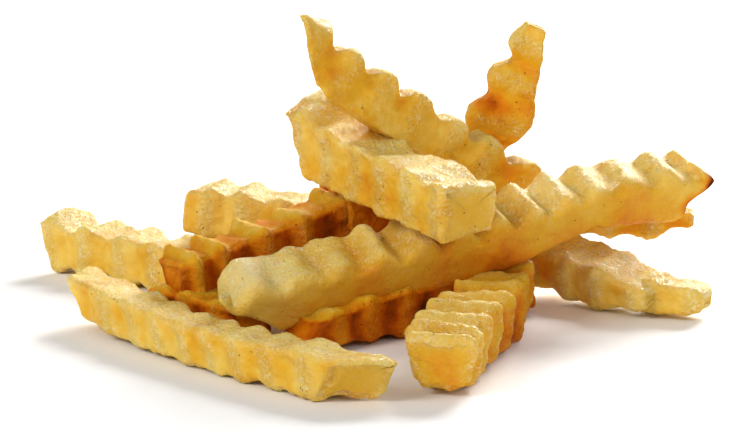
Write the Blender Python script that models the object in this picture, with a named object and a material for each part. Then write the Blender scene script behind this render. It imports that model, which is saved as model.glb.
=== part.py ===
# A heap of crinkle-cut french fries, as tipped out loose on a flat surface.
# Metres, +Z up. The origin is on the surface, at the middle of the heap's footprint.
# Each fry is a bar with a chamfered section, ridged across by a waved blade and cut off at both ends.
import math

import bmesh
import bpy
from mathutils import Matrix, Vector

MM = 0.001

# The cut, common to all the fries
RIDGE_PITCH = 8.0 * MM
RIDGE_DEPTH = 1.7 * MM
FRY_WIDTH = 12.0 * MM
FRY_HEIGHT = 10.5 * MM
CORNER_SHARE = 0.70
RINGS_PER_RIDGE = 4
# A fry that narrows towards an end does so over this share of its length.
TAPER_REACH = 0.4
# The crests that the heap lies on are pressed flat at this height, so that it stands steadily.
REST_LEVEL = 0.2 * MM

HEAP_NAME = "fries_heap"
FRY_COLOUR = (0.79, 0.55, 0.16, 1.0)
FRY_ROUGHNESS = 0.5

# Where each fry lies. middle is the centre of its bar in millimetres, heading its direction seen from above,
# anticlockwise from +X, and tilt how far its far end rises, both in degrees. Sizes are in millimetres too.
# ridged names the waved faces: t top, b bottom, l and r the long sides.
# taper is the width's and height's share left at the near end and at the far end, reached over the share reach.
# bow bends the bar sideways at its middle, crest is where its first ridge stands, corner how square its section is.
# near_cut and far_cut say how far the cut's side edge and top edge stand out along the fry.
FRIES = {
    "front_left": dict(middle=(-27.5, -18.5, 4.7), heading=-48.5, tilt=0, length=76, width=9.5, height=7.8, crest=3,
                       bow=-2.8, near_cut=(1.8, 1.6), far_cut=(3.4, 0)),
    "front_stub": dict(middle=(17.3, -15, 5.7), heading=77, tilt=0, length=57, width=12, height=9.8, corner=0.5),
    "long_cross": dict(middle=(18, 8.5, 16.2), heading=23.5, tilt=8.5, length=87, width=13, height=12, roll=-14,
                       pitch=8.4, crest=6, ridged="t", near_cut=(-4, 7), far_cut=(0, 2)),
    "top_block": dict(middle=(2.6, 7.5, 28.8), heading=-52, tilt=-9, length=46, width=12, height=11, roll=-7,
                      near_cut=(1.5, 1.5)),
    "top_long": dict(middle=(11, 18, 33.7), heading=28.5, tilt=-32, length=59, width=6.5, height=10,
                     pitch=9, crest=4.5, depth=2.3, ridged="lrt", near_cut=(0, 7)),
    "top_right": dict(middle=(24.6, 34, 36.5), heading=180, tilt=-70, length=34, width=7, height=13.5,
                      pitch=8.2, crest=4, depth=2.3, ridged="lrt", taper=(1, 0.4, 1, 0.75), reach=0.7),
    "left_back": dict(middle=(-46.5, 42.5, 5.9), heading=-42, tilt=0, length=46, width=11, height=10),
    "brown_cross": dict(middle=(-20.5, 11, 13.8), heading=35, tilt=12, length=39, width=10, height=10),
    "back_left": dict(middle=(-21.5, 36, 14.6), heading=-17, tilt=-3, length=28, near_cut=(-1, 0)),
    "under_left": dict(middle=(-29.8, -1, 4.8), heading=-47, tilt=0, length=24, width=10.5, height=8),
    "under_right": dict(middle=(4, 4.5, 5.4), heading=38.5, tilt=2.5, length=55, width=10, height=9,
                        taper=(1, 0.35, 1, 1)),
    "right_back": dict(middle=(48, 37, 14.6), heading=-5, tilt=2, length=26, width=10, height=8.5),
    "right_low": dict(middle=(42.8, 24, 5.6), heading=-49, tilt=-3.5, length=31, height=9, taper=(1, 1, 0.7, 0.45)),
    "far_right": dict(middle=(56, 15, 4.1), heading=-28, tilt=-3, length=14, width=9.5, height=6.5,
                      taper=(1, 1, 0.8, 0.6)),
    # Three fries inside the heap carry the upper ones.
    "inner_floor": dict(middle=(6, 34, 6.1), heading=9, tilt=0, length=48),
    "inner_cross": dict(middle=(-2, 27, 17.6), heading=-78, tilt=2, length=28),
    "inner_lean": dict(middle=(18, 38, 17), heading=-63, tilt=0, length=28),
}


def fry_axes(heading, tilt, roll):
    """Along, side and up directions of a bar; up is as near to +Z as the bar lets it be, then rolled."""
    yaw = math.radians(heading)
    rise = math.radians(tilt)
    along = Vector((math.cos(yaw) * math.cos(rise), math.sin(yaw) * math.cos(rise), math.sin(rise)))
    up = (Vector((0, 0, 1)) - along * along.z).normalized()
    up.rotate(Matrix.Rotation(-math.radians(roll), 3, along))
    return along, up.cross(along), up


def taper_at(share, near, far, reach):
    """Part of the full size left at a share of the length."""
    into_near = max(0.0, 1 - share / reach)
    into_far = max(0.0, 1 - (1 - share) / reach)
    return 1 - (1 - near) * into_near ** 1.3 - (1 - far) * into_far ** 1.3


def ring_points(half_width, half_height, ridge, ridged, k):
    """A chamfered section; a ridge lifts the faces that are waved."""
    right = half_width + ridge * ("r" in ridged)
    left = half_width + ridge * ("l" in ridged)
    top = half_height + ridge * ("t" in ridged)
    bottom = half_height + ridge * ("b" in ridged)
    corners = [(1, -k), (1, k), (k, 1), (-k, 1), (-1, k), (-1, -k), (-k, -1), (k, -1)]
    return [(x * (right if x > 0 else left), y * (top if y > 0 else bottom)) for x, y in corners]


def cut_end(mesh, point, outward):
    """Slice the bar across and close the cut."""
    geometry = mesh.verts[:] + mesh.edges[:] + mesh.faces[:]
    cut = bmesh.ops.bisect_plane(mesh, geom=geometry, dist=0.00001, plane_co=point, plane_no=outward, clear_outer=True)
    edges = [piece for piece in cut["geom_cut"] if isinstance(piece, bmesh.types.BMEdge)]
    bmesh.ops.edgeloop_fill(mesh, edges=edges)


def build_fry(name, middle, heading, tilt, length, width=FRY_WIDTH / MM, height=FRY_HEIGHT / MM, roll=0,
              pitch=RIDGE_PITCH / MM, depth=RIDGE_DEPTH / MM, crest=0, ridged="lrtb", corner=CORNER_SHARE,
              taper=(1, 1, 1, 1), reach=TAPER_REACH, bow=0, near_cut=(0, 0), far_cut=(0, 0)):
    """One fry as an object, its rings at the crests, flanks and troughs of its ridges."""
    along, side, up = fry_axes(heading, tilt, roll)
    spare = max(abs(value) for value in near_cut + far_cut) + pitch / RINGS_PER_RIDGE
    step = pitch / RINGS_PER_RIDGE
    first = math.floor((-spare - crest) / step)
    last = math.ceil((length + spare - crest) / step)
    mesh = bmesh.new()
    rings = []
    for number in range(first, last + 1):
        station = crest + number * step
        share = min(1.0, max(0.0, station / length))
        half_width = width / 2 * taper_at(share, taper[0], taper[2], reach)
        half_height = height / 2 * taper_at(share, taper[1], taper[3], reach)
        ridge = depth / 2 * math.cos(2 * math.pi * (station - crest) / pitch)
        centre = Vector(middle) + along * (station - length / 2) + side * (bow * math.sin(math.pi * share))
        points = ring_points(half_width, half_height, ridge, ridged, corner)
        rings.append([mesh.verts.new((centre + side * x + up * y) * MM) for x, y in points])
    for ring, following in zip(rings, rings[1:]):
        for index in range(len(ring)):
            after = (index + 1) % len(ring)
            mesh.faces.new((ring[index], ring[after], following[after], following[index]))
    mesh.faces.new(reversed(rings[0]))
    mesh.faces.new(rings[-1])
    near_end = (Vector(middle) - along * length / 2) * MM
    far_end = (Vector(middle) + along * length / 2) * MM
    near_slope = -along - side * (2 * near_cut[0] / width) - up * (2 * near_cut[1] / height)
    far_slope = along - side * (2 * far_cut[0] / width) - up * (2 * far_cut[1] / height)
    cut_end(mesh, near_end, near_slope)
    cut_end(mesh, far_end, far_slope)
    bmesh.ops.triangulate(mesh, faces=mesh.faces[:])
    bmesh.ops.recalc_face_normals(mesh, faces=mesh.faces[:])
    data = bpy.data.meshes.new(name)
    mesh.to_mesh(data)
    mesh.free()
    return bpy.data.objects.new(name, data)


def fried_potato():
    """The crust's material."""
    material = bpy.data.materials.new("fried potato")
    material.use_nodes = True
    shader = material.node_tree.nodes["Principled BSDF"]
    shader.inputs["Base Color"].default_value = FRY_COLOUR
    shader.inputs["Roughness"].default_value = FRY_ROUGHNESS
    shader.inputs["Metallic"].default_value = 0.0
    return material


def fuse(fries):
    """Join the fries into one body with one union, and take the separate bars away."""
    heap, others = fries[0], fries[1:]
    group = bpy.data.collections.new("loose fries")
    bpy.context.scene.collection.children.link(group)
    bpy.context.scene.collection.objects.link(heap)
    for fry in others:
        group.objects.link(fry)
    union = heap.modifiers.new("union", "BOOLEAN")
    union.operation = "UNION"
    union.operand_type = "COLLECTION"
    union.collection = group
    union.solver = "EXACT"
    graph = bpy.context.evaluated_depsgraph_get()
    joined = bpy.data.meshes.new_from_object(heap.evaluated_get(graph))
    heap.modifiers.clear()
    heap.data = joined
    for fry in others:
        bpy.data.objects.remove(fry, do_unlink=True)
    bpy.data.collections.remove(group)
    return heap


def press_flat(heap):
    """Cut the crests off that reach below the rest level."""
    mesh = bmesh.new()
    mesh.from_mesh(heap.data)
    cut_end(mesh, (0, 0, REST_LEVEL), (0, 0, -1))
    bmesh.ops.triangulate(mesh, faces=mesh.faces[:])
    mesh.to_mesh(heap.data)
    mesh.free()


def set_on_surface(heap):
    """Shift the mesh so that the footprint's middle is the origin and the flattened crests are at z = 0."""
    corners = [vertex.co for vertex in heap.data.vertices]
    lows = Vector([min(co[axis] for co in corners) for axis in range(3)])
    highs = Vector([max(co[axis] for co in corners) for axis in range(3)])
    heap.data.transform(Matrix.Translation((-(lows.x + highs.x) / 2, -(lows.y + highs.y) / 2, -lows.z)))


for leftover in list(bpy.data.objects):
    bpy.data.objects.remove(leftover, do_unlink=True)

heap = fuse([build_fry(name, **fry) for name, fry in FRIES.items()])
press_flat(heap)
set_on_surface(heap)
heap.name = HEAP_NAME
heap.data.name = HEAP_NAME
heap.data.materials.clear()
heap.data.materials.append(fried_potato())
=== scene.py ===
# Crinkle-cut french fries in a loose heap: the look of each fry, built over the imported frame.
import math
import random

import bpy
import numpy as np
from mathutils import Matrix, Vector, noise


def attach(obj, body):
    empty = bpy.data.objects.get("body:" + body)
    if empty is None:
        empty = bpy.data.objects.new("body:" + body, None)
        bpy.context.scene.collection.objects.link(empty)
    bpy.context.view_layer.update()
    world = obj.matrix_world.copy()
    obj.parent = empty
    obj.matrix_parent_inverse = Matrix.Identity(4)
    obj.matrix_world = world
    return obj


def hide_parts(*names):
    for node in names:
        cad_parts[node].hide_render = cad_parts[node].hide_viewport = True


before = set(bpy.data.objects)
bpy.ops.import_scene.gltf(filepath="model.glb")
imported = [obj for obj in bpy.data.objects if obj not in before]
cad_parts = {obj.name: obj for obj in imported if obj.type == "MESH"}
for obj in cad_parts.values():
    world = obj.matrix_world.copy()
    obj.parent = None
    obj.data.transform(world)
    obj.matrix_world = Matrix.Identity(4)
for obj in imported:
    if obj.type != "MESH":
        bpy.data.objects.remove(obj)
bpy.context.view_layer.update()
mm = 0.001

# The cut that all fries share, in millimetres. A fry's own dictionary may give another value.
commonCut = {
    "width": 12, "height": 10.5, "corner": 1.5,
    "pitch": 8, "depth": 1.7,       # from ridge to ridge, and from ridge to valley
    "sideDepth": 0.6, "fade": 0,    # the sides' share of the depth, and how it fades towards the bottom
    "sharp": 0.0,                   # above 0 narrow ridges, below 0 broad ones
    "crests": (),                   # where the ridges stand along the fry; without them, a pitch apart
    "ridged": "lrtb",               # waved faces: r and l the sides, t top, b bottom
    "smooth": "",                   # faces sliced flat, without crust grain
    "slant": (0, 0),                # how far a ridge leans along the fry, per mm of side and of up
    "roll": 0, "bow": 0, "tilt": 0,
    "taper": (1, 1, 1, 1),          # shares of width and height left at the near end, then at the far end
    "reach": 0.4,                   # the share of the length over which a fry narrows
    "foot": 0.0,                    # how much narrower the section is at its bottom
    "nearCut": (0, 0), "farCut": (0, 0),   # how far the cut's side edge and top edge stand out
    "browned": 0.0,                 # 0 golden, 1 deep brown, below 0 dry and pale; set per fry to how dark it looks, so it also carries painted shade, and below 0 painted light
    "spots": (),                    # browner or paler places, many of them painted shade and painted highlights: (along, side, up, radius, amount)
    "pulls": (),                    # dents and tips: (along, side, up, radius, by along, by side, by up)
}

# Where each fry lies: its middle in millimetres before heapShift, its heading seen from above and
# its tilt and roll in degrees.
fries = {
    "front_left": {
        "middle": (-27.5, -18.5, 4.8), "heading": -48.5, "tilt": -0.6,
        "length": 76, "width": 9.5, "height": 7.8, "corner": 1.6, "bow": -2.8, "foot": 0.08,
        "crests": (-3, 13, 21.5, 29, 37, 44, 51, 58.5, 66.5, 79), "slant": (0.3, 0.3),
        "depth": 0.45, "sideDepth": 1.2, "nearCut": (1.8, 3.4), "farCut": (3.4, 2.2),
        "pulls": ((42, 0, 0, 30, 0, 0, -0.6), (2, 0, -4, 18, 0, 0, 0.6)),
    },
    "front_stub": {
        "middle": (17.3, -15, 5.7), "heading": 77,
        "length": 57, "width": 12, "height": 9.8, "corner": 2.0, "foot": 0.22,
        "crests": (-8, 0.3, 5.8, 12.8, 21.1, 30.2, 40, 48.7, 56.3), "nearCut": (0, 0.4),
        # Its browning, and the spot on the near end face, are painted shade; the other spots darken the right
        # side and the far end.
        "ridged": "lrt", "sideDepth": 0.9, "sharp": 0.3, "browned": 0.1,
        "spots": ((50, 0, 3, 26, 0.55), (30, -8, -2, 24, 0.4), (-1, 0, -2, 9, 0.26)),
        "pulls": ((0, 6, -5, 9, 0, -1.5, 0.8), (0, -6, -5, 7, 0, 1.2, 1.0),
                  (38, -6, -4, 22, 0, -1.7, -0.8)),
    },
    "long_cross": {
        "middle": (18, 8.5, 16.2), "heading": 23.5, "tilt": 9.8, "roll": -21,
        "length": 88, "width": 12.5, "height": 11, "corner": 2.6,
        "crests": (-9, 0.1, 8.5, 15.8, 23.9, 32, 40, 47.5, 54.5, 61.6, 67.8, 75.2, 83.3, 91),
        "ridged": "t", "smooth": "l", "depth": 2.6, "sharp": -0.05,
        "nearCut": (-2.2, 6.0), "farCut": (0, 2), "taper": (1, 1, 0.95, 0.95), "reach": 0.5,
        # The far end is drawn out into a dark beak.
        "pulls": ((0, -6, -1, 6, 0.9, 0, 0.3), (66, -4, -7, 20, 0, 0.8, 1.8),
                  (70, 0, 5, 20, 0, 0, 0.7), (89, -4, 1.8, 4.2, 4.8, 0, -0.6),
                  (88, 2, 6, 7, 0, 0, -0.8)),
        # The browning and the three spots low on the front are painted shade; the spots below 0 are painted
        # highlights on the mounds, and the first three brown the beak.
        "browned": 0.1,
        "spots": ((93, -4, 1, 5, 1.5), (88, -6, -1.5, 4, 1.0), (88, -4, -4, 4, 0.4),
                  (48, -5, -9, 26, 0.6), (20, -6, -9, 18, 0.35), (74, -6, -4, 22, 0.35),
                  (1, 0, 7, 15, -0.6), (84, 0, 4, 18, -0.3), (59, 2, 6, 19, -0.5)),
    },
    "top_block": {
        "middle": (2.6, 7.5, 28.8), "heading": -52, "tilt": -9, "roll": -7,
        "length": 46, "width": 12, "height": 11, "corner": 1.2,
        "nearCut": (1.5, 3.5), "ridged": "lrt", "depth": 1.1, "sideDepth": 0.5,
        "pulls": ((3, 3, 5.5, 13, 0.5, 0, 3.8), (27, 6, 6, 12, 0, 0, -2.0),
                  (44, 6, 5.5, 12, 0.5, 0.6, -1.9)),
        # The first spot is painted shade in the hollow under top_long.
        "spots": ((14, 1, 6, 9, 0.3), (24, -6, -5, 10, 0.2)),
    },
    "top_long": {
        "middle": (11, 18, 33.7), "heading": 28.5, "tilt": -32,
        "length": 59, "width": 6.5, "height": 10,
        "crests": (-2.5, 6.2, 14.1, 22.6, 32.0, 40.3, 51.2, 60), "nearCut": (-2.4, 6.5),
        "ridged": "lrt", "depth": 2.0, "fade": 1.6, "sharp": -0.15, "browned": 0.1,
        "pulls": ((-4, 0, 5, 10, 0, 0, 0.7), (-7, 0, 5, 6, 0.6, 0, 0.9),
                  (-1, 0, 5, 4.5, 0.3, 0, 2.2), (30, 0, 5, 20, 0, 0, -0.5)),
    },
    "top_right": {
        "middle": (24.6, 34, 37.0), "heading": 180, "tilt": -70,
        "length": 34, "width": 7, "height": 13.5, "taper": (1, 0.4, 1, 0.65), "reach": 0.7,
        "crests": (-4, 4.1, 11.5, 19.5, 27.6, 36), "ridged": "lrt", "depth": 2.0, "sharp": -0.15,
        "browned": 0.2, "spots": ((18, 3, 2, 6, 0.45), (2, 0, 0, 12, -0.2)),
        "pulls": ((4, 0, 4.5, 7, 0, 0, -1.8), (10, 0, 7, 13, 0, 0, -1.3),
                  (17.5, 0, -6, 8, 0, 0, -1.7), (26, 0, -5, 7.5, 0, 0, 2.4)),
    },
    "left_back": {
        "middle": (-46.5, 42.5, 5.5), "heading": -42, "length": 46, "width": 11, "height": 9.3,
        "crests": (-6.5, 2.5, 12.3, 23.3, 32.3, 41, 50), "depth": 1.4, "nearCut": (0, 2.5),
        "browned": -0.06, "pulls": ((0, 0, 5, 10, 0, 0, 2.0),),
    },
    # Deep in the heap: its browning is painted shade.
    "brown_cross": {
        "middle": (-17.3, 13.2, 14.6), "heading": 35, "tilt": 12,
        "length": 47, "width": 10, "height": 10, "crests": (-4, 3, 8.5, 18, 26, 36, 44, 52),
        "depth": 1.5, "sideDepth": 1.0, "sharp": 0.45, "browned": 0.62,
    },
    "back_left": {
        "middle": (-21.5, 36, 14.8), "heading": -17, "tilt": -6, "length": 28,
        "nearCut": (-1, 0), "depth": 1.0, "corner": 2.2, "taper": (0.95, 0.95, 1, 1),
        # Its browning below 0 is painted light, paler where it lies in shade.
        "browned": -0.1, "spots": ((20, -5, 0, 6, 0.4),),
    },
    # The fries under the heap: their browning is painted shade.
    "under_left": {
        "middle": (-29.8, -1, 4.8), "heading": -47, "length": 24, "width": 10.5, "height": 8,
        "depth": 0.8, "browned": 0.66,
    },
    "under_right": {
        "middle": (7.5, 3.7, 5.4), "heading": 38.5, "tilt": 2.5,
        "length": 51, "width": 10, "height": 9, "taper": (1, 0.55, 1, 1), "nearCut": (0, -3),
        "depth": 0.8, "sideDepth": 0.4, "browned": 0.68,
    },
    "right_back": {
        "middle": (48.5, 37, 15.2), "heading": -5, "tilt": -2,
        "length": 28, "width": 10, "height": 7.5, "taper": (1, 1, 0.6, 0.35),
        "depth": 1.1, "browned": 0.15,
    },
    "right_low": {
        "middle": (42.8, 24, 6.1), "heading": -49, "tilt": -5, "roll": -12,
        "length": 31, "height": 9, "corner": 2.4, "taper": (1, 0.85, 0.7, 0.45),
        # The spot is painted shade on the near end's front-left face, where the heap shades it.
        "depth": 0.7, "browned": -0.06, "spots": ((2, -6, 0, 12, 0.6),),
    },
    "far_right": {
        "middle": (56, 15, 4.1), "heading": -28, "tilt": -3,
        "length": 14, "width": 9.5, "height": 6.5, "corner": 2.0, "taper": (1, 1, 0.6, 0.5),
        "depth": 0.9,
    },
    # Three fries inside the heap carry the upper ones; inner_cross's browning is painted shade.
    "inner_floor": {"middle": (6, 34, 6.1), "heading": 9, "length": 48, "browned": 0.2},
    "inner_cross": {"middle": (-2, 27, 17.6), "heading": -78, "tilt": 2, "length": 28, "browned": 0.7},
    "inner_lean": {"middle": (18, 38, 17), "heading": -63, "length": 28, "browned": 0.2},
}
heapShift = (1.91, -7.51, -0.20)   # from the fries' own coordinates to the frame's, in millimetres

# How finely a fry is made, and the relief of its crust, in millimetres
crust = {
    "ringStep": 0.34,
    "endSteps": (0, 0.1, 0.25, 0.45, 0.75), "endZone": 1.1,   # closer rings beside the cuts
    "facePoints": 24, "cornerPoints": 9, "capRings": 12,
    "taperEase": 1.3, "pitchError": 0.09,   # the error is a share of the pitch
    "driftSize": 9, "driftAcross": 3, "phaseDrift": 0.6, "depthDrift": 0.9,
    "faceHollow": 0.3, "endRound": 0.9, "capHollow": 0.25, "capFlatness": 4,
    "edgeWidth": 1.2, "edgeShare": 0.8,     # the rough edge round a cut, against the one along the fry; its pale crumbs also paint a highlight on the rim
    "edgeTightness": 6,                     # the higher, the narrower the rough edges
    "firstSeed": 10, "seedGap": 11,         # the gap is wider than the number of layers of noise
    "seedStride": (7.3, 3.1, 5.7),          # how far apart two seeds read the noise
    # Size and height of each kind of relief
    "lump": (7.0, 0.6), "dimple": (3.2, 0.34), "blister": (1.5, 0.3), "grain": (0.75, 0.16),
    "fringe": (1.4, 0.42), "capLump": (3.0, 0.22), "capGrain": (0.9, 0.07),
    "bite": (4.0, 1.8), "biteFrom": 0.09,   # worn places along the edges, where the noise passes biteFrom
    "valleyGrain": 0.35,                    # the share of grain left in the valleys
    "flatLoses": {"grain": 0.75, "dimple": 0.6, "fringe": 0.5},   # what a face that was sliced flat lacks
    "flatCut": 0.8, "flatEase": 4,          # how far it looks like a cut end, and how soon its corners don't
}


def noiseAt(points, size, seed):   # smooth noise of a given size, about -0.7 to 0.7
    places = points / size + seed * np.array(crust["seedStride"])
    return np.array([noise.noise(place) for place in places.tolist()])


def fryAxes(heading, tilt, roll):
    yaw, rise = math.radians(heading), math.radians(tilt)
    along = Vector((math.cos(yaw) * math.cos(rise), math.sin(yaw) * math.cos(rise), math.sin(rise)))
    up = (Vector((0, 0, 1)) - along * along.z).normalized()
    up.rotate(Matrix.Rotation(-math.radians(roll), 3, along))
    return [np.array(axis) for axis in (along, up.cross(along), up)]


def taperAt(share, near, far, reach):   # how much of the width or height is left along the fry
    intoNear = np.maximum(0.0, 1 - share / reach)
    intoFar = np.maximum(0.0, 1 - (1 - share) / reach)
    return 1 - (1 - near) * intoNear ** crust["taperEase"] - (1 - far) * intoFar ** crust["taperEase"]


def sectionOutline(halfWidth, halfHeight, corner):   # a rounded section of unit half sizes, and its normals
    points, normals = [], []
    for quarter in range(4):
        turn = quarter * math.pi / 2
        cornerX = (halfWidth - corner) * (1 if quarter in (0, 3) else -1)
        cornerY = (halfHeight - corner) * (1 if quarter in (0, 1) else -1)
        for step in range(crust["cornerPoints"]):
            angle = turn + math.pi / 2 * step / (crust["cornerPoints"] - 1)
            normals.append((math.cos(angle), math.sin(angle)))
            points.append((cornerX + corner * normals[-1][0], cornerY + corner * normals[-1][1]))
        nextX = (halfWidth - corner) * (1 if quarter in (2, 3) else -1)
        nextY = (halfHeight - corner) * (1 if quarter in (0, 3) else -1)
        normal = (math.cos(turn + math.pi / 2), math.sin(turn + math.pi / 2))
        start = points[-1]
        end = (nextX + corner * normal[0], nextY + corner * normal[1])
        for step in range(1, crust["facePoints"] + 1):
            part = step / (crust["facePoints"] + 1)
            points.append((start[0] + (end[0] - start[0]) * part, start[1] + (end[1] - start[1]) * part))
            normals.append(normal)
    points, normals = np.array(points), np.array(normals)
    return points / (halfWidth, halfHeight), normals


def ringPlaces(fry, across, upright):   # how far along the fry each ring's points are, cut to cut
    length = fry["length"]
    start = -fry["nearCut"][0] * across - fry["nearCut"][1] * upright
    end = length + fry["farCut"][0] * across + fry["farCut"][1] * upright
    close = np.array(crust["endSteps"])
    even = np.linspace(crust["endZone"], length - crust["endZone"], int(length / crust["ringStep"]))
    parts = np.concatenate((close, even, length - close[::-1])) / length
    station = start + parts[:, None] * (end - start)
    toCut = np.minimum(parts, 1 - parts)[:, None] * length * np.ones(len(across))
    return station, toCut


def pitchedCrests(pitch, length, seed):   # ridges about a pitch apart, a little unevenly cut
    chance, error = random.Random(seed), crust["pitchError"]
    numbers = range(-1, int(length / pitch) + 4)   # from before the fry to past its end
    return [pitch * (number - 0.5 + chance.uniform(-error, error)) for number in numbers]


def ridgeWaves(fry, station, across, upright, seed):   # the blade's wave, drifting in place and depth
    halfWidth, halfHeight = fry["width"] / 2, fry["height"] / 2
    slanted = station + fry["slant"][0] * across * halfWidth + fry["slant"][1] * upright * halfHeight
    section = [np.tile(part * crust["driftAcross"], len(station)) for part in (across, upright)]
    drift = noiseAt(np.stack((slanted.ravel(), *section), 1), crust["driftSize"], seed)
    drift = drift.reshape(station.shape)
    crests = fry["crests"] or pitchedCrests(fry["pitch"], fry["length"], seed)
    phase = 2 * math.pi * np.interp(slanted, crests, range(len(crests))) + crust["phaseDrift"] * drift
    wave = np.cos(phase) + fry["sharp"] * np.cos(2 * phase)
    return phase, fry["depth"] / 2 * wave * (1 + crust["depthDrift"] * drift)


def slicedFlat(fry, normals):   # 1 on the faces without crust grain, easing off round their corners
    flat = np.zeros(len(normals))
    towards = {"r": normals[:, 0], "l": -normals[:, 0], "t": normals[:, 1], "b": -normals[:, 1]}
    for face in fry["smooth"]:
        flat = np.maximum(flat, np.clip(towards[face], 0, 1) ** crust["flatEase"])
    return flat


def crustRelief(places, crestShare, edge, flat, seed):   # how far the crust stands out
    def layer(kind, number):
        size, height = crust[kind]
        return height * noiseAt(places, size, seed + number).reshape(edge.shape)

    left = {kind: 1 - loss * flat for kind, loss in crust["flatLoses"].items()}
    grainy = crust["valleyGrain"] + (1 - crust["valleyGrain"]) * np.maximum(crestShare, edge)
    relief = layer("lump", 1) + layer("dimple", 7) * left["dimple"]
    relief += (layer("blister", 2) + layer("grain", 3)) * grainy * left["grain"]
    relief += np.maximum(0, layer("fringe", 4)) * edge * left["fringe"]
    return relief - np.maximum(0, layer("bite", 8) - crust["biteFrom"]) * edge


def closeEnd(rim, slope, cutAt, outward, seed):   # rings that shrink to the middle of a hollow cut
    closing = []
    for number in range(1, crust["capRings"] + 1):
        keep = 1 - number / (crust["capRings"] + 0.5)
        ring = rim.copy()
        ring[:, 1:3] *= keep
        ring[:, 0] = cutAt + ring[:, 1:3] @ slope
        relief = sum(crust[kind][1] * noiseAt(ring[:, :3], crust[kind][0], seed + shift)
                     for kind, shift in (("capLump", 5), ("capGrain", 6)))
        ring[:, 0] += outward * (1 - keep ** crust["capFlatness"]) * (relief - crust["capHollow"])
        fromRim = keep ** crust["edgeTightness"]   # the crust's labels, from column 3 on, end near the rim
        ring[:, 3] = 1 - fromRim * (1 - ring[:, 3])
        ring[:, 4] = 0.5 + fromRim * (ring[:, 4] - 0.5)
        ring[:, 5:] *= fromRim
        closing.append(ring)
    return np.array(closing)


def nearness(places, centre, radius):   # 1 at the centre, easing to 0 at the radius
    near = np.clip(1 - np.linalg.norm(places - np.array(centre), axis=1) / radius, 0, 1)
    return near * near * (3 - 2 * near)


def fryFaces(rings, count):   # the bar's skin, its two caps, and the small face in the middle of each
    bar = np.arange(rings * count).reshape(rings, count)
    nearCap, farCap = np.arange(bar.size, bar.size + 2 * crust["capRings"] * count).reshape(2, -1, count)
    nearRows, farRows = np.concatenate((bar[:1], nearCap)), np.concatenate((bar[-1:], farCap))
    quads = (stitch(bar[:-1], bar[1:]), stitch(nearRows[:-1], nearRows[1:], flip=True),
             stitch(farRows[:-1], farRows[1:]))
    return np.concatenate(quads).tolist() + [nearCap[-1, ::-1].tolist(), farCap[-1].tolist()]


def stitch(ring, following, flip=False):   # quads between two or more rows of rings, facing out
    after, followingAfter = np.roll(ring, -1, axis=1), np.roll(following, -1, axis=1)
    corners = (ring, following, followingAfter, after) if flip else (ring, after, followingAfter, following)
    return np.stack([corner.ravel() for corner in corners], 1)


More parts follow.
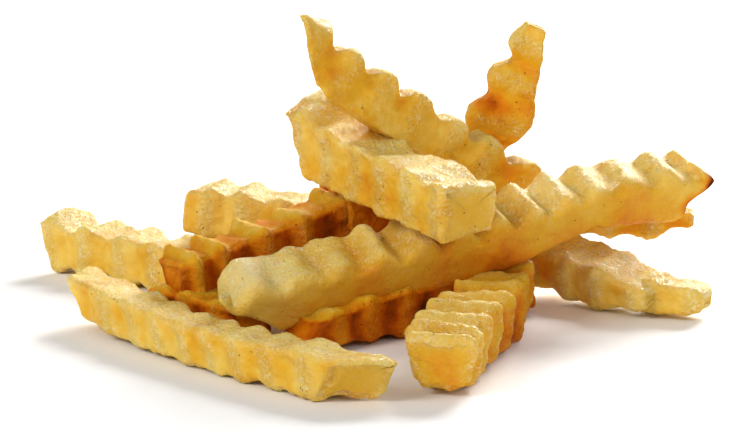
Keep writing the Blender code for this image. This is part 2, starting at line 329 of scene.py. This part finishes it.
def buildFry(name, own, seed, material):
    fry = {**commonCut, **own}
    length, halfWidth, halfHeight = fry["length"], fry["width"] / 2, fry["height"] / 2
    outline, normals = sectionOutline(halfWidth, halfHeight, fry["corner"])
    across, upright = outline[:, 0], outline[:, 1]
    station, toCut = ringPlaces(fry, across, upright)
    phase, ridge = ridgeWaves(fry, station, across, upright, seed)

    # The bar: a tapered section, waved on its ridged faces
    share = np.clip(station / length, 0, 1)
    nearWidth, nearHeight, farWidth, farHeight = fry["taper"]
    width = halfWidth * taperAt(share, nearWidth, farWidth, fry["reach"])
    height = halfHeight * taperAt(share, nearHeight, farHeight, fry["reach"])
    onSide = np.where(across > 0, "r" in fry["ridged"], "l" in fry["ridged"]) * fry["sideDepth"]
    onSide = onSide * (0.5 + 0.5 * upright) ** fry["fade"]
    onTop = np.where(upright > 0, "t" in fry["ridged"], "b" in fry["ridged"])
    side = across * (width * (1 - fry["foot"] * (0.5 - 0.5 * upright)) + ridge * onSide)
    up = upright * (height + ridge * onTop)

    # Faces hollow between their edges, and the cut ends have rounded rims.
    sideHollow, topHollow = (1 - upright ** 2) * normals[:, 0] ** 2, (1 - across ** 2) * normals[:, 1] ** 2
    into = np.clip(crust["endRound"] - toCut, 0, crust["endRound"])
    inset = crust["endRound"] - np.sqrt(crust["endRound"] ** 2 - into ** 2)
    inset = inset + crust["faceHollow"] * (sideHollow + topHollow)
    side = side - normals[:, 0] * inset
    up = up - normals[:, 1] * inset

    # The crust, roughest on ridges and edges
    edge = np.maximum(np.minimum(np.abs(across), np.abs(upright)) ** crust["edgeTightness"],
                      crust["edgeShare"] * np.clip(1 - toCut / crust["edgeWidth"], 0, 1))
    onRidge = np.maximum(np.minimum(1, onSide * 2) * normals[:, 0] ** 2, onTop * normals[:, 1] ** 2)
    crestShare = 0.5 + 0.5 * np.cos(phase) * onRidge
    flat = slicedFlat(fry, normals)
    places = np.stack((station.ravel(), side.ravel(), up.ravel()), 1)
    relief = crustRelief(places, crestShare, edge, flat, seed)
    side = side + normals[:, 0] * relief
    up = up + normals[:, 1] * relief

    # One row for each point: along, side, up, then the labels cut, crest, edge and facesUp
    along, sideways, upward = fryAxes(fry["heading"], fry["tilt"], fry["roll"])
    everyRing = np.ones((len(station), 1))
    cut = flat * crust["flatCut"] * everyRing
    facesUp = np.clip(normals @ (sideways[2], upward[2]), 0, 1) * everyRing
    bar = np.stack((station, side, up, cut, crestShare, edge, facesUp), 2)
    halves = np.array((halfWidth, halfHeight))
    nearCap = closeEnd(bar[0], -np.array(fry["nearCut"]) / halves, 0, -1, seed)
    farCap = closeEnd(bar[-1], np.array(fry["farCut"]) / halves, length, 1, seed)
    table = np.concatenate([part.reshape(-1, bar.shape[2]) for part in (bar, nearCap, farCap)])

    # Local dents and drawn-out tips, then browner and paler places: browning, painted shade and painted
    # highlights
    for middleAlong, middleSide, middleUp, radius, *by in fry["pulls"]:
        near = nearness(table[:, :3], (middleAlong, middleSide, middleUp), radius)
        table[:, :3] += near[:, None] * by
    browned = np.full(len(table), float(fry["browned"]))
    for middleAlong, middleSide, middleUp, radius, amount in fry["spots"]:
        browned += amount * nearness(table[:, :3], (middleAlong, middleSide, middleUp), radius)

    # Into the frame
    bow = fry["bow"] * np.sin(math.pi * np.clip(table[:, 0] / length, 0, 1))
    points = np.array(fry["middle"]) + np.array(heapShift) + np.outer(table[:, 0] - length / 2, along)
    points += np.outer(table[:, 1] + bow, sideways) + np.outer(table[:, 2], upward)

    mesh = bpy.data.meshes.new(name)
    mesh.from_pydata((points * mm).tolist(), [], fryFaces(*station.shape))
    mesh.update()
    mesh.shade_smooth()
    labels = dict(zip(("cut", "crest", "edge", "facesUp"), table[:, 3:].T), browned=browned)
    for label, values in labels.items():
        mesh.attributes.new(label, "FLOAT", "POINT").data.foreach_set("value", values.astype(np.float32))
    mesh.materials.append(material)
    piece = bpy.data.objects.new(name, mesh)
    bpy.context.scene.collection.objects.link(piece)
    return piece


def linear(hexColour):   # sRGB hex to linear RGBA
    channels = [int(hexColour[place:place + 2], 16) / 255 for place in (1, 3, 5)]
    return tuple(c / 12.92 if c <= 0.04045 else ((c + 0.055) / 1.055) ** 2.4 for c in channels) + (1.0,)


def addNode(tree, kind, inputs=None, **settings):   # a node with its settings, values and links
    node = tree.nodes.new(kind)
    for name, value in settings.items():
        setattr(node, name, value)
    for name, value in (inputs or {}).items():
        if isinstance(value, bpy.types.NodeSocket):
            tree.links.new(value, node.inputs[name])
        else:
            node.inputs[name].default_value = value
    return node


# Fried potato: steam-blistered starch crust, golden in the valleys and paler with dry grain on the ridges,
# with a thin film of frying oil that glints, over moist potato that lets light through.
# The deeper valleys are partly painted shade, and the paler ridges and tops, with their near-white crumbs,
# partly painted highlights.
# Sizes are in millimetres, and a pair is where a pattern begins to show and where it shows in full.
friedPotato = {
    # Pale crust at 0 on the scale of tones, then golden, ochre, brown and burnt crust where they stand
    "pale": "#F2CF62",
    "tones": (("#E4AC22", 0.3), ("#DC8208", 0.58), ("#B24E00", 0.82), ("#5E2A06", 1.0)),
    "patch": 8.0, "patchShare": 0.9, "mottle": 2.2, "mottleShare": 0.5,
    # crestPaler and litTopPaler make ridges and tops paler: painted light
    "toneBase": -0.39, "toneScale": 0.8, "crestPaler": 0.16, "litTopPaler": 0.12,
    # How much of the browning a valley takes, deepening it as painted shade, and how much less crests and
    # tops take, as painted light
    "valleyTakes": 1.25, "crestSpared": 0.45, "topSpared": 0.45,
    # Dry crumbs, pale on pale fries, toasted and fewer on brown ones; the near-white ones on ridges, edges
    # and tops also paint glints, a painted highlight
    "crumb": "#FFF0C4", "toasted": "#F0B448", "toastedBy": 1.3, "crumbShare": 0.7, "crumbLost": 0.9,
    "grain": 0.56, "crumbFrom": (0.48, 0.6), "cloud": 2.6, "cloudFrom": (0.42, 0.6), "cloudLeast": 0.3,
    "crestBare": 1.6, "slopeBare": -0.6, "topBare": 0.9,
    "frosting": 1.1, "frostingFrom": -0.1, "crestLineFrom": (0.8, 0.97), "crestLineShare": 0.6,
    # Moist potato on cut faces, and dark specks in clusters
    "flesh": "#DCAE34", "fleshShare": 0.55,
    "speck": "#4E1E02", "speckSpacing": 2.1, "speckFrom": (0.10, 0.075), "speckShare": 0.8,
    "cluster": 5.0, "clusterFrom": (0.5, 0.58),
    # Fine relief, shine and the light that passes through, which browned crust has less of
    "crustBump": 0.7, "bareGrain": 0.9, "grainLeast": 0.25, "mottleHeight": 0.8,
    "roughness": 0.5, "reflection": 0.15,
    "scatter": 1.6, "scatterWeight": 0.35, "scatterLost": 0.3, "scatterColours": (1.0, 0.55, 0.18),
    # Oil in droplets, most of it on what faces up
    "droplet": 0.75, "dropletFrom": (0.47, 0.54), "dropletBump": 0.8,
    "oilRoughness": 0.15, "oilLost": 1.5, "oilOnSides": 0.05,
}


def makeFriedPotato(look):
    material = bpy.data.materials.new("fried potato crust")
    material.use_nodes = True
    tree = material.node_tree
    tree.nodes.clear()
    place = addNode(tree, "ShaderNodeTexCoord").outputs["Object"]

    def pattern(size, detail, roughness=0.5):
        inputs = {"Vector": place, "Scale": 1 / (size * mm), "Detail": detail, "Roughness": roughness}
        return addNode(tree, "ShaderNodeTexNoise", inputs).outputs["Fac"]

    def maths(operation, a, b, c=0.0, clamp=False):
        inputs = {0: a, 1: b, 2: c}
        return addNode(tree, "ShaderNodeMath", inputs, operation=operation, use_clamp=clamp).outputs[0]

    def fading(value, limits, least=0.0, most=1.0):
        inputs = {"Value": value, "From Min": limits[0], "From Max": limits[1],
                  "To Min": least, "To Max": most}
        return addNode(tree, "ShaderNodeMapRange", inputs).outputs[0]

    def mixed(share, a, b):
        return addNode(tree, "ShaderNodeMix", {0: share, 6: a, 7: b}, data_type="RGBA").outputs[2]

    cut, crest, edge, facesUp, browned = (
        addNode(tree, "ShaderNodeAttribute", attribute_name=label).outputs["Fac"]
        for label in ("cut", "crest", "edge", "facesUp", "browned"))
    mottle = pattern(look["mottle"], 3, 0.6)
    grain = pattern(look["grain"], 3, 0.7)
    droplet = pattern(look["droplet"], 3, 0.7)

    # Tone from pale to burnt: patches and mottling, deeper in valleys as painted shade, lighter on ridges and
    # on top as painted light
    tone = maths("MULTIPLY_ADD", pattern(look["patch"], 2), look["patchShare"], look["toneBase"])
    tone = maths("MULTIPLY_ADD", mottle, look["mottleShare"], tone)
    tone = maths("MULTIPLY_ADD", crest, -look["crestPaler"], tone)
    tone = maths("MULTIPLY_ADD", facesUp, -look["litTopPaler"], tone)
    taken = maths("MULTIPLY_ADD", crest, -look["crestSpared"], look["valleyTakes"])
    taken = maths("MULTIPLY_ADD", facesUp, -look["topSpared"], taken)
    tone = maths("MULTIPLY_ADD", browned, taken, tone)
    ramp = addNode(tree, "ShaderNodeValToRGB", {0: maths("MULTIPLY", tone, look["toneScale"], clamp=True)})
    stops = ramp.color_ramp.elements
    stops.remove(stops[-1])
    stops[0].color = linear(look["pale"])
    for colour, position in look["tones"]:
        stops.new(position).color = linear(colour)

    # Dry crumbs and painted glints on ridges, edges and what faces up: scattered ones, a frosting on the
    # palest fries, and a thin pale line on each crest, a painted highlight
    crumbAndGlintMask = maths("MAXIMUM", edge, maths("MULTIPLY", facesUp, look["topBare"]))
    crumbAndGlintMask = maths("MAXIMUM", maths("MULTIPLY_ADD", crest, look["crestBare"], look["slopeBare"]), crumbAndGlintMask)
    cloud = fading(pattern(look["cloud"], 2), look["cloudFrom"], least=look["cloudLeast"])
    scattered = maths("MULTIPLY", maths("MULTIPLY", crumbAndGlintMask, fading(grain, look["crumbFrom"])), cloud)
    frosting = maths("MULTIPLY_ADD", browned, -look["frosting"], look["frostingFrom"], clamp=True)
    frosting = maths("MULTIPLY", frosting, crumbAndGlintMask)
    shown = maths("MULTIPLY_ADD", browned, -look["crumbLost"], look["crumbShare"], clamp=True)
    shown = maths("MAXIMUM", shown, fading(crest, look["crestLineFrom"], most=look["crestLineShare"]))
    crumbColour = mixed(maths("MULTIPLY", browned, look["toastedBy"], clamp=True),
                        linear(look["crumb"]), linear(look["toasted"]))
    crumbs = maths("MULTIPLY", maths("MAXIMUM", scattered, frosting), shown)
    colour = mixed(crumbs, ramp.outputs["Color"], crumbColour)

    # Moist potato shows on cut faces that haven't browned.
    fresh = maths("MULTIPLY_ADD", browned, -1.0, look["fleshShare"], clamp=True)
    colour = mixed(maths("MULTIPLY", cut, fresh), colour, linear(look["flesh"]))

    # A few dark specks, in loose clusters
    cells = addNode(tree, "ShaderNodeTexVoronoi", {"Vector": place, "Scale": 1 / (look["speckSpacing"] * mm)})
    cluster = fading(pattern(look["cluster"], 1), look["clusterFrom"])
    specks = maths("MULTIPLY", fading(cells.outputs["Distance"], look["speckFrom"]), cluster)
    colour = mixed(maths("MULTIPLY", specks, look["speckShare"]), colour, linear(look["speck"]))

    # Fine crust relief, and droplets of oil on what faces up, where the crust is still soft
    height = maths("MULTIPLY", grain, maths("MULTIPLY_ADD", crumbAndGlintMask, look["bareGrain"], look["grainLeast"]))
    height = maths("MULTIPLY_ADD", mottle, look["mottleHeight"], height)
    crustBump = addNode(tree, "ShaderNodeBump",
                        {"Height": height, "Strength": 1.0, "Distance": look["crustBump"] * mm})
    dropletBump = addNode(tree, "ShaderNodeBump",
                          {"Height": droplet, "Strength": 1.0, "Distance": look["dropletBump"] * mm})
    oil = maths("MULTIPLY_ADD", facesUp, 1 - look["oilOnSides"], look["oilOnSides"])
    oil = maths("MULTIPLY", oil, fading(droplet, look["dropletFrom"]))
    oil = maths("MULTIPLY", oil, maths("MULTIPLY_ADD", browned, -look["oilLost"], 1.0, clamp=True))

    reflection = maths("MULTIPLY_ADD", browned, -look["reflection"], look["reflection"], clamp=True)
    scatter = maths("MULTIPLY_ADD", browned, -look["scatterLost"], look["scatterWeight"], clamp=True)
    shader = addNode(tree, "ShaderNodeBsdfPrincipled", {
        "Base Color": colour, "Roughness": look["roughness"], "Normal": crustBump.outputs[0],
        "Specular IOR Level": reflection,
        "Subsurface Weight": scatter, "Subsurface Radius": look["scatterColours"],
        "Subsurface Scale": look["scatter"] * mm,
        "Coat Weight": oil, "Coat Roughness": look["oilRoughness"], "Coat Normal": dropletBump.outputs[0],
    })
    addNode(tree, "ShaderNodeOutputMaterial", {"Surface": shader.outputs[0]})
    return material


print("fries")
potato = makeFriedPotato(friedPotato)
for number, (name, own) in enumerate(fries.items()):
    piece = buildFry(name, own, crust["firstSeed"] + number * crust["seedGap"], potato)
    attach(piece, "root")
    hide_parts("fries_heap")

# Plain pale floor, in metres, wide enough to fill the view from any side
floorLook = {"half": 3.0, "colour": "#FAF9F7", "roughness": 0.7}


def makeFloor(look):
    mesh = bpy.data.meshes.new("studio_floor")
    half = look["half"]
    corners = [(-half, -half, 0), (half, -half, 0), (half, half, 0), (-half, half, 0)]
    mesh.from_pydata(corners, [], [(0, 1, 2, 3)])
    material = bpy.data.materials.new("matt white card")
    material.use_nodes = True
    shader = material.node_tree.nodes["Principled BSDF"]
    shader.inputs["Base Color"].default_value = linear(look["colour"])
    shader.inputs["Roughness"].default_value = look["roughness"]
    mesh.materials.append(material)
    floor = bpy.data.objects.new("studio_floor", mesh)
    bpy.context.scene.collection.objects.link(floor)
    return floor


print("floor, lights and camera")
makeFloor(floorLook)

# White soft boxes: place and size in metres, power in watts
lights = {
    "key from the front left": {"at": (-0.82, -0.62, 0.72), "size": 0.5, "power": 7.8},
    "soft box behind": {"at": (0.45, 0.95, 0.62), "size": 0.6, "power": 25.0},
    "fill from the front": {"at": (0.42, -1.00, 0.60), "size": 0.9, "power": 3.7},
}
heapCentre = Vector((0, 0, 0.02))
for name, light in lights.items():
    data = bpy.data.lights.new(name, "AREA")
    data.shape = "SQUARE"
    data.size = light["size"]
    data.energy = light["power"]
    lamp = bpy.data.objects.new(name, data)
    lamp.location = light["at"]
    lamp.rotation_euler = (heapCentre - Vector(light["at"])).to_track_quat("-Z", "Y").to_euler()
    bpy.context.scene.collection.objects.link(lamp)

studioAir = {"colour": "#FFFFFF", "strength": 0.25}   # the even light from all sides
world = bpy.data.worlds.new("white studio")
bpy.context.scene.world = world
world.use_nodes = True
background = world.node_tree.nodes["Background"]
background.inputs["Color"].default_value = linear(studioAir["colour"])
background.inputs["Strength"].default_value = studioAir["strength"]

# The photograph's view: a long lens from the front, a little above the floor. The distance is in metres,
# the target, lens and sensor in millimetres.
cameraView = {"elevation": 11, "distance": 0.42, "target": (2.4, -7.51, 21.8), "lens": 112, "sensor": 36}
rise = math.radians(cameraView["elevation"])
back = Vector((0, -math.cos(rise), math.sin(rise)))
cameraData = bpy.data.cameras.new("camera")
cameraData.lens = cameraView["lens"]
cameraData.sensor_width = cameraView["sensor"]
camera = bpy.data.objects.new("camera", cameraData)
camera.location = Vector(cameraView["target"]) * mm + back * cameraView["distance"]
camera.rotation_euler = (-back).to_track_quat("-Z", "Y").to_euler()
bpy.context.scene.collection.objects.link(camera)
bpy.context.scene.camera = camera
bpy.context.scene.view_settings.view_transform = "Standard"
